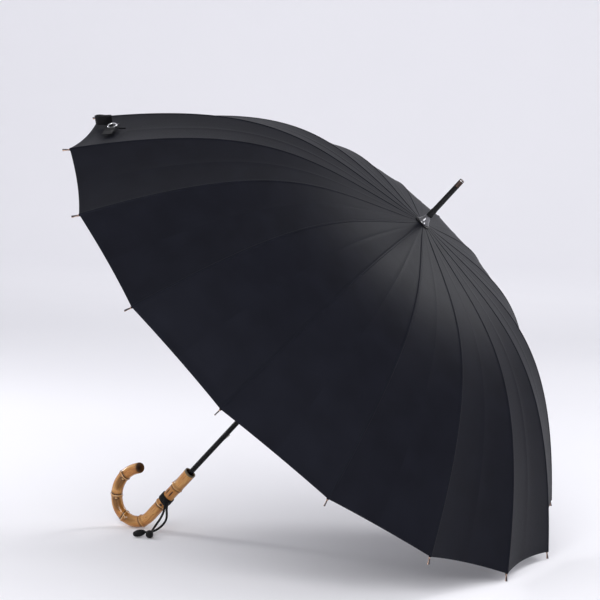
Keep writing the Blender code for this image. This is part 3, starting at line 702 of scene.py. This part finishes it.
def make_handle(bamboo, metal):
    """Swept bamboo with a bored, recessed mouth and a hollow end. Their faces are dark brown, darkened
    further into the bore and the hollow as painted shade.
    """
    length = handle_length()
    sides = 56
    steps = 300
    bore = SHAFT_RADIUS + 0.0004
    # Rings of points: distance from the mouth, a fixed radius if any, and how dark the face is. This is its
    # own dark brown, deepened into the bore and the hollow end as painted shade.
    rings = [
        (SHAFT_INSERT + 0.001, bore, 1.0),
        (0.0062, bore, 1.0),
        (0.0060, 0.0089, 1.0),
        (0.0006, 0.0092, 0.9),
        (0.0, 0.0097, 0.3),
    ]
    for i in range(steps + 1):
        rings.append((length * i / steps, None, 0.25 if i == steps else 0.0))
    # Painted shade: the hollow end darkens towards its bottom.
    end = ((0.0, 0.0094, 0.70), (0.0005, 0.0080, 0.80), (0.0016, 0.0060, 0.9), (0.0024, 0.0020, 1.0))
    rings += [(length - depth, radius, pith_and_shade) for depth, radius, pith_and_shade in end]
    points, uv, scorches, burnts, ridge_highlights, pith_and_shade_values = [], [], [], [], [], []
    for distance, fixed, pith_and_shade in rings:
        centre, heading = handle_frame(distance)
        across = Vector((math.cos(heading + math.pi / 2), 0.0, math.sin(heading + math.pi / 2)))
        rim = 1 - 0.05 * spread(distance, 0.0, 0.0012) - 0.07 * spread(distance, length, 0.0010)
        for side in range(sides):
            angle = 2 * math.pi * side / sides
            radius, scorch, burnt, ridge_highlight = bamboo_surface(distance, angle)
            radius = radius * rim if fixed is None else fixed
            offset = radius * (math.cos(angle) * across + math.sin(angle) * Vector((0.0, 1.0, 0.0)))
            slant = END_SLANT * max(0.0, 1 - (length - distance) / 0.03) * offset.y
            offset += slant * Vector((math.cos(heading), 0.0, math.sin(heading)))
            points.append(STAND @ (Vector((centre.x, 0.0, centre.y)) + offset))
            uv.append((HANDLE_RADIUS * math.cos(angle) + GRAIN_SWING * math.sin(angle), distance))
            scorches.append(scorch)
            burnts.append(max(burnt, 0.7 * spread(distance, length, 0.003)))
            ridge_highlights.append(ridge_highlight)
            pith_and_shade_values.append(pith_and_shade)
    data = mesh_of("handle_bamboo", points, tube_faces(len(rings), sides), uv, "grain")
    fix = bmesh.new()
    fix.from_mesh(data)
    bmesh.ops.recalc_face_normals(fix, faces=fix.faces)
    fix.to_mesh(data)
    fix.free()
    for name, values in (("scorch", scorches), ("burnt", burnts), ("ridge_highlight", ridge_highlights), ("pith_and_shade", pith_and_shade_values)):
        data.attributes.new(name, "FLOAT", "POINT").data.foreach_set("value", values)
    data.set_sharp_from_angle(angle=math.radians(55))
    handle = new_piece("handle_bamboo", data, bamboo, "root")
    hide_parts("handle")

    rim = [
        (0.0096, HANDLE_MOUTH - 0.0035),
        (0.0113, HANDLE_MOUTH - 0.0032),
        (0.0115, HANDLE_MOUTH - 0.0026),
        (0.0115, HANDLE_MOUTH + 0.0004),
        (0.0111, HANDLE_MOUTH + 0.0009),
        (0.0101, HANDLE_MOUTH + 0.0009),
        (0.0096, HANDLE_MOUTH + 0.0003),
    ]
    turned_piece("handle_collar", rim, STAND, 56, metal, "root")


# ---------------------------------------------------------------- wrist cord


def make_wrist_cord(cord, plastic):
    """Cord wound round the handle, its two ends, a barrel toggle and a knotted ball."""
    starts = [STAND.inverted() @ Vector(route[0]) for route in (TOGGLE_CORD, BEAD_CORD)]
    under = sum(math.atan2(start.y, start.x) for start in starts) / 2
    turns, steps = 9, 60
    path = []
    for i in range(turns * steps + 1):
        share = i / (turns * steps)
        angle = 2 * math.pi * turns * share
        height = HANDLE_MOUTH - WRAP_FROM - THREAD_RADIUS - (WRAP_TO - WRAP_FROM - 2 * THREAD_RADIUS) * share
        over = 0.0036 * spread(turn_between(angle, under), 0.0, 0.42) * min(1.0, share / 0.45)
        radius = BAMBOO_SHARE * HANDLE_RADIUS + THREAD_RADIUS + over
        path.append(STAND @ Vector((radius * math.cos(angle), radius * math.sin(angle), height)))
    winding = curve_tube("cord_binding", path, THREAD_RADIUS)
    binding = new_piece("cord_binding", winding, cord, "root")

    axis = Vector(TOGGLE_TO) - Vector(TOGGLE_FROM)
    size = axis.length
    profile = [(0.0, 0.0), (0.0030, 0.0)]
    rings = 44
    for i in range(1, rings):
        share = i / rings
        barrel = 0.0063 * math.sin(math.pi * (0.17 + 0.66 * share)) ** 0.7
        groove = 0.00022 * math.cos(2 * math.pi * 11 * share)
        profile.append((barrel + groove, size * share))
    profile += [(0.0031, size), (0.0, size)]
    stand = Matrix.Translation(TOGGLE_FROM) @ axis.to_track_quat("Z", "X").to_matrix().to_4x4()
    toggle = turned_piece("toggle_barrel", profile, stand, 32, plastic, "root")
    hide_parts("tassel_toggle")

    points = []
    rings, sides = 36, 48
    for ring in range(1, rings):
        polar = math.pi * ring / rings
        for side in range(sides):
            turn = 2 * math.pi * side / sides
            weave = abs(math.sin(3 * turn + 3 * polar)) * abs(math.sin(3 * turn - 3 * polar))
            radius = BEAD_RADIUS * (0.90 + 0.10 * weave**0.5)
            flat = math.sin(polar)
            spot = Vector((flat * math.cos(turn), flat * math.sin(turn), 1.02 * math.cos(polar)))
            points.append(Vector(BEAD_AT) + radius * spot)
    data = mesh_of("knot_ball", points, tube_faces(rings - 1, sides))
    ball = new_piece("knot_ball", data, cord, "root")

    for name, route, far_end, end_piece in (
        ("cord_toggle_end", TOGGLE_CORD, "fitting", toggle),
        ("cord_ball_end", BEAD_CORD, "knot", ball),
    ):
        points = smooth_route(route, 6)
        piece = new_piece(name, curve_tube(name, points, CORD_RADIUS), cord, "root")
    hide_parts("tassel_cord")


# ---------------------------------------------------------------- metal and plastic parts


def catch_slots(nodes):
    """Hidden-tool mesh of one box round each catch's blade, in the upright frame."""
    mesh = bmesh.new()
    upright = Matrix.Rotation(-CATCH_TURN, 4, "Z") @ STAND.inverted()
    for name in ("top_catch", "bottom_catch"):
        points = [upright @ vertex.co for vertex in nodes[name].data.vertices]
        low = Vector([min(point[i] for point in points) - CATCH_CLEARANCE for i in range(3)])
        high = Vector([max(point[i] for point in points) + CATCH_CLEARANCE for i in range(3)])
        low.x -= CATCH_TRAVEL
        at = Matrix.Translation((low + high) / 2) @ Matrix.Diagonal((*(high - low), 1.0))
        bmesh.ops.create_cube(mesh, size=1.0, matrix=STAND @ Matrix.Rotation(CATCH_TURN, 4, "Z") @ at)
    data = bpy.data.meshes.new("catch_slots")
    mesh.to_mesh(data)
    mesh.free()
    return data


def cut_away(data, tool_data):
    """The mesh with another one cut out of it."""
    body = bpy.data.objects.new("body_to_cut", data)
    tool = bpy.data.objects.new("cutting_tool", tool_data)
    for item in (body, tool):
        bpy.context.scene.collection.objects.link(item)
    modifier = body.modifiers.new("cut", "BOOLEAN")
    modifier.object = tool
    modifier.solver = "EXACT"
    bpy.context.view_layer.update()
    result = bpy.data.meshes.new_from_object(body.evaluated_get(bpy.context.evaluated_depsgraph_get()))
    for item in (body, tool):
        bpy.data.objects.remove(item, do_unlink=True)
    return result


def make_shaft(paint, nodes):
    """Painted bar with a slot for each spring catch and a spigot inside the ferrule."""
    low, high = HANDLE_MOUTH - SHAFT_INSERT, CAP_BASE + CAP_HEIGHT
    spigot = high + SPIGOT_LENGTH
    profile = [
        (0.0, low), (SHAFT_RADIUS, low), (SHAFT_RADIUS, high),
        (SPIGOT_RADIUS, high), (SPIGOT_RADIUS, spigot), (0.0, spigot),
    ]
    data = cut_away(lathe("shaft_tube", profile, STAND, 48), catch_slots(nodes))
    data.shade_smooth()
    data.set_sharp_from_angle(angle=SHARP_EDGE)
    piece = new_piece("shaft_tube", data, paint, "root")
    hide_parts("shaft")


def make_crown(chrome, rosette):
    """Flared chrome cap on a black rosette."""
    rings = 14
    profile = [
        (0.0054, CAP_BASE + 0.0003), (0.0108, CAP_BASE + 0.0003),
        (0.0114, CAP_BASE + 0.0005), (0.0115, CAP_BASE + 0.0012),
    ]
    for i in range(rings + 1):
        share = i / rings
        radius = 0.0060 + 0.0054 * (1 - share) ** 2.0
        profile.append((radius, CAP_BASE + 0.0017 + (CAP_HEIGHT - 0.0024) * share))
    profile.append((0.0054, CAP_BASE + CAP_HEIGHT))
    cap = turned_piece("cap_flare", profile, STAND, 64, chrome, "root")
    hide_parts("crown_cap")
    drop = math.tan(CROWN_SLOPE)
    disc = []
    for radius, lift in (
        (0.0056, 0.0002), (0.0146, 0.0004), (0.0155, 0.0007),
        (0.0156, 0.0014), (0.0148, 0.0018), (0.0056, 0.0009),
    ):
        disc.append((radius, CROWN_HEIGHT - (radius - CROWN_HOLE_RADIUS) * drop * (radius > 0.009) + lift))
    turned_piece("cap_rosette", disc, STAND, 48, rosette, "root")


def make_ferrule(paint, bronze, bright):
    """Black sleeve with a thicker foot, and a bronze end with a ring."""
    base = CAP_BASE + CAP_HEIGHT + 0.0002
    split = FERRULE_END - 0.0160
    sleeve = [
        (0.0, base), (0.0058, base), (0.0059, base + 0.0012), (0.0057, base + 0.0125),
        (0.0052, base + 0.0140), (0.0050, base + 0.0160), (0.0047, split - 0.0002), (0.0, split - 0.0002),
    ]
    piece = turned_piece("ferrule_sleeve", sleeve, STAND, 48, paint, "root")
    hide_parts("ferrule")
    end = [
        (0.0, split), (0.0047, split), (0.0049, split + 0.0004), (0.0049, split + 0.0018),
        (0.0047, split + 0.0022), (0.0046, FERRULE_END - 0.0011), (0.0042, FERRULE_END - 0.0002),
        (0.0036, FERRULE_END), (0.0, FERRULE_END),
    ]
    turned_piece("ferrule_end", end, STAND, 48, bronze, "root")
    ring = [
        (0.0040, FERRULE_END - 0.0024), (0.0048, FERRULE_END - 0.0024), (0.0050, FERRULE_END - 0.0019),
        (0.0048, FERRULE_END - 0.0014), (0.0040, FERRULE_END - 0.0014),
    ]
    turned_piece("ferrule_ring", ring, STAND, 48, bright, "root")


def make_tips(brass, cloth):
    """Round metal tip on each rib's end and the cloth pocket that it is sewn into."""
    slope = canopy_slope(1.0)
    hem = canopy_line(1.0) - (RIB_DEPTH - 0.0004) * Vector((-slope.y, slope.x))
    start = Matrix.Translation((hem.x, 0.0, hem.y))
    lie = Vector((slope.x, 0.0, slope.y)).to_track_quat("Z", "Y").to_matrix().to_4x4()
    tip = [
        (0.0, -0.004), (0.00125, -0.004), (0.00125, 0.0012), (0.0014, 0.0016), (0.0014, 0.0024),
        (0.00115, 0.0028), (0.0010, 0.0114), (0.0012, 0.0120), (0.0011, 0.0128), (0.0006, 0.0132),
        (0.0, 0.0132),
    ]
    pocket = [
        (0.0, -0.0075), (0.0014, -0.0075), (0.0021, -0.0050), (0.0023, -0.0015),
        (0.0020, 0.0008), (0.0, 0.0010),
    ]
    for number in range(1, RIB_COUNT + 1):
        tag = f"{number:02d}"
        stand = STAND @ rib_turn(number) @ start @ lie
        turned_piece(f"tip_{tag}", tip, stand, 16, brass, "rib_outer_" + tag)
        turned_piece(f"tip_pocket_{tag}", pocket, stand, 16, cloth, "rib_outer_" + tag)


# ---------------------------------------------------------------- tie strap


def ribbon(name, path, width, thickness, along_width):
    """Flat ribbon of even thickness along a path, with its width along a fixed direction."""
    points, faces = [], []
    for i, place in enumerate(path):
        ahead = path[min(i + 1, len(path) - 1)]
        behind = path[max(i - 1, 0)]
        normal = (ahead - behind).cross(along_width).normalized()
        for across, up in ((-1, -1), (1, -1), (1, 1), (-1, 1)):
            points.append(place + across * width / 2 * along_width + up * thickness / 2 * normal)
    faces = tube_faces(len(path), 4)
    data = mesh_of(name, points, faces)
    data.set_sharp_from_angle(angle=math.radians(40))
    return data


def round_tube(name, path, radius, sides=14):
    """Round rod along a path, as a mesh."""
    points = []
    across = None
    for i, place in enumerate(path):
        heading = (path[min(i + 1, len(path) - 1)] - path[max(i - 1, 0)]).normalized()
        across = heading.orthogonal() if across is None else across - across.dot(heading) * heading
        across.normalize()
        beside = heading.cross(across)
        for side in range(sides):
            angle = 2 * math.pi * side / sides
            points.append(place + radius * (math.cos(angle) * across + math.sin(angle) * beside))
    return mesh_of(name, points, tube_faces(len(path), sides))


def strap_frame():
    """Where the strap stands on the cloth: axes along the hem, up towards the crown, and outwards."""
    line = canopy_line(STRAP_AT)
    corner = rib_turn(1) @ Vector((line.x, 0.0, line.y))
    along = (rib_turn(2) @ Vector((line.x, 0.0, line.y)) - corner).normalized()
    slope = canopy_slope(STRAP_AT)
    rise = Matrix.Rotation(PITCH / 2, 4, "Z") @ rib_turn(1) @ Vector((-slope.x, 0.0, -slope.y))
    out = along.cross(rise).normalized()
    rise = out.cross(along)
    middle = corner + STRAP_FROM_RIB * along
    return STAND @ Matrix.Translation(middle) @ Matrix((along, rise, out)).transposed().to_4x4()


def make_tie_strap(grosgrain, chrome):
    """Ribbon rolled up and standing at the hem, with its free end, an oval ring and a cord loop."""
    stand = strap_frame()
    turned = stand @ Matrix.Rotation(-STRAP_TURN, 4, "Z")
    outward = stand.to_3x3() @ Vector((0.0, 0.0, 1.0))
    middle = 0.0006 + STRAP_WIDTH / 2

    def wound(angle, grow, lean=0.0):
        """Point of an oval winding round the strap's middle."""
        x = STRAP_HALF_DEPTH * grow * math.copysign(abs(math.cos(angle)) ** 0.8, math.cos(angle))
        y = STRAP_HALF_LENGTH * (grow**0.35) * math.sin(angle)
        return turned @ Vector((x, y, middle + lean))

    loops, count = 4, 60
    roll = []
    for i in range(loops * count + 1):
        share = i / (loops * count)
        angle = 2 * math.pi * loops * share - math.pi / 2
        roll.append(wound(angle, 0.22 + 0.78 * share, 0.0006 * math.sin(3.1 * angle)))
    pieces = [("strap_roll", ribbon("strap_roll", roll, STRAP_WIDTH, 0.0008, outward))]

    inward = stand.to_3x3() @ Vector((0.06, 0.998, 0.0)).normalized()
    end = []
    for t in even(0.0, 1.0, 40):
        lift = 0.0013 + 0.0016 * math.sin(math.pi * t) ** 2 + 0.0008 * math.sin(9 * t) ** 2
        end.append(stand @ Vector((0.006 + 0.077 * t, 0.0205 + 0.004 * t, lift)))
    pieces.append(("strap_end", ribbon("strap_end", end, 0.019, 0.0008, inward)))
    ring = []
    for i in range(50):
        angle = 2 * math.pi * i / 48
        right, up = math.cos(angle), math.sin(angle)
        ring.append(stand @ Vector((0.0345 + 0.0065 * right, 0.0235 + 0.0075 * up, 0.0050 - 0.0024 * right)))
    pieces.append(("strap_ring", round_tube("strap_ring", ring, 0.0013)))
    tail = []
    for t in even(0.0, 1.0, 30):
        bow = 0.004 * math.sin(math.pi * t)
        tail.append(stand @ Vector((0.0380 + 0.014 * t + bow, 0.030 + 0.022 * t, 0.0032 - 0.0014 * t)))
    pieces.append(("strap_loop", round_tube("strap_loop", tail, 0.0013)))

    for name, data in pieces:
        finish, slot = (chrome, "spring_steel") if name == "strap_ring" else (grosgrain, "strap_cloth")
        piece = new_piece(name, data, finish, "rib_outer_01")
        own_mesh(piece)
        if name == "strap_roll":
            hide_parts("tie_strap")


# ---------------------------------------------------------------- studio


def make_studio():
    """Round pale floor that curves up into a wall far outside every view."""
    profile = [(FLOOR_RADIUS, 0.0)]
    for i in range(1, BEND_STEPS + 1):
        angle = math.pi / 2 * i / BEND_STEPS
        profile.append((FLOOR_RADIUS + BEND_RADIUS * math.sin(angle), BEND_RADIUS * (1 - math.cos(angle))))
    profile.append((FLOOR_RADIUS + BEND_RADIUS, WALL_HEIGHT))
    mesh = bmesh.new()
    rings = []
    for radius, height in profile:
        ring = []
        for side in range(STUDIO_SIDES):
            turn = 2 * math.pi * side / STUDIO_SIDES
            ring.append(mesh.verts.new((radius * math.cos(turn), radius * math.sin(turn), height)))
        rings.append(ring)
    mesh.faces.new(rings[0])
    for low, high in zip(rings, rings[1:]):
        for side in range(STUDIO_SIDES):
            after = (side + 1) % STUDIO_SIDES
            mesh.faces.new((low[side], high[side], high[after], low[after]))
    bmesh.ops.recalc_face_normals(mesh, faces=mesh.faces)
    data = bpy.data.meshes.new("studio_bowl")
    mesh.to_mesh(data)
    mesh.free()
    data.shade_smooth()
    data.materials.append(studio_material())
    bowl = bpy.data.objects.new("studio_bowl", data)
    bpy.context.scene.collection.objects.link(bowl)


def area_light(name, place, aim, size, power, cone=180.0):
    """Round soft lamp at a place, turned to its aim. The cone is in degrees."""
    data = bpy.data.lights.new(name, "AREA")
    data.shape = "DISK"
    data.size = size
    data.energy = power
    data.spread = math.radians(cone)
    lamp = bpy.data.objects.new(name, data)
    bpy.context.scene.collection.objects.link(lamp)
    lamp.location = place
    lamp.rotation_euler = (Vector(aim) - Vector(place)).to_track_quat("-Z", "Y").to_euler()


def make_lights():
    """Soft lamps round the umbrella, and the even light of the room."""
    area_light("key", (2.3, 4.8, 3.7), (0.2, 0.0, 0.5), 1.9, 30.0, 90.0)
    area_light("front", (0.9, -3.4, 2.4), (0.0, -0.2, 0.1), 2.4, 85.0)
    area_light("side", (-3.4, 0.5, 1.6), (-0.3, 0.0, 0.0), 0.7, 30.0)
    area_light("fill", (4.6, -1.8, 1.8), (0.3, 0.0, 0.4), 1.2, 40.0)
    area_light("backdrop", (-2.0, 4.5, 6.0), (-3.0, 12.0, 3.0), 3.0, 150.0)
    world = bpy.data.worlds.new("studio_air")
    world.use_nodes = True
    background = world.node_tree.nodes["Background"]
    background.inputs["Color"].default_value = WORLD_COLOUR
    background.inputs["Strength"].default_value = WORLD_STRENGTH
    bpy.context.scene.world = world
    bpy.context.scene.view_settings.view_transform = "Standard"


def make_camera():
    """Camera that sees the umbrella as the photo does."""
    data = bpy.data.cameras.new("camera")
    data.lens = CAMERA_LENS
    data.sensor_width = SENSOR
    camera = bpy.data.objects.new("camera", data)
    bpy.context.scene.collection.objects.link(camera)
    turn = Matrix.Rotation(CAMERA_HEADING, 4, "Z") @ Matrix.Rotation(math.pi / 2 + CAMERA_TILT, 4, "X")
    camera.matrix_world = Matrix.Translation(CAMERA_AT) @ turn @ Matrix.Rotation(CAMERA_ROLL, 4, "Z")
    bpy.context.scene.camera = camera


def stand_matrix(record):
    """The lean and place of the upright frame, from the flat face at the ferrule's end."""
    face = next(mount for mount in record["mounts"] if mount["name"] == "ferrule_end")
    up = Vector(face["axis"]).normalized()
    side = Vector((0.0, 1.0, 0.0))
    turn = Matrix((side.cross(up), side, up)).transposed().to_4x4()
    return Matrix.Translation(Vector(face["pos_m"]) - FERRULE_END * up) @ turn


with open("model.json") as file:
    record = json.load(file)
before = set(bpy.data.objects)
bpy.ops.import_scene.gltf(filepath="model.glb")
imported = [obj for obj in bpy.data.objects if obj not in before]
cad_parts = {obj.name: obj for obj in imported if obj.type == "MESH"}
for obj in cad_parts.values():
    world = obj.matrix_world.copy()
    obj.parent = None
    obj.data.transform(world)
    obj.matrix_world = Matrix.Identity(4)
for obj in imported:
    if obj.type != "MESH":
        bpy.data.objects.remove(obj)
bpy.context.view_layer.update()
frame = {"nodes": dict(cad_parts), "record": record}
STAND = stand_matrix(frame["record"])

pongee = cloth_material()
grosgrain = ribbon_material()
braid = cord_material()
enamel = painted_material("black_enamel", (0.004, 0.004, 0.0045), 0.25, 0.12)
moulded = painted_material("black_plastic_finish", (0.006, 0.006, 0.0065), 0.40, 0.06)
chromed = metal_material("polished_chrome", (0.62, 0.62, 0.64), (0.78, 0.78, 0.80), 0.08)
steel = metal_material("bright_steel", (0.32, 0.31, 0.29), (0.46, 0.45, 0.42), 0.28)
black_steel = metal_material("blackened_steel", (0.045, 0.045, 0.050), (0.085, 0.085, 0.092), 0.34)
bronze = metal_material("bronze", (0.020, 0.015, 0.013), (0.075, 0.052, 0.045), 0.30)
brass = metal_material("tip_brass", (0.36, 0.23, 0.17), (0.52, 0.36, 0.28), 0.32)
collar_metal = metal_material("dull_brass", (0.10, 0.085, 0.055), (0.24, 0.20, 0.13), 0.34)

make_camera()
make_wrist_cord(braid, moulded)
make_canopy(pongee)
make_handle(bamboo_material(), collar_metal)
make_shaft(enamel, frame["nodes"])
# The cap's chrome is given a dark colour: a painted dark reflection in place of the surroundings it mirrors.
make_crown(metal_material("chrome_with_painted_dark_reflection", (0.10, 0.10, 0.105), (0.20, 0.20, 0.21), 0.16), grosgrain)
make_ferrule(enamel, bronze, chromed)
make_tips(brass, pongee)
make_tie_strap(grosgrain, chromed)
make_studio()
make_lights()

for name, node in frame["nodes"].items():
    node.data.materials.clear()
    if name.startswith(("rib_", "stretcher_")):
        node.data.materials.append(black_steel)
    elif name.endswith("catch"):
        node.data.materials.append(steel)
    else:
        node.data.materials.append(moulded)
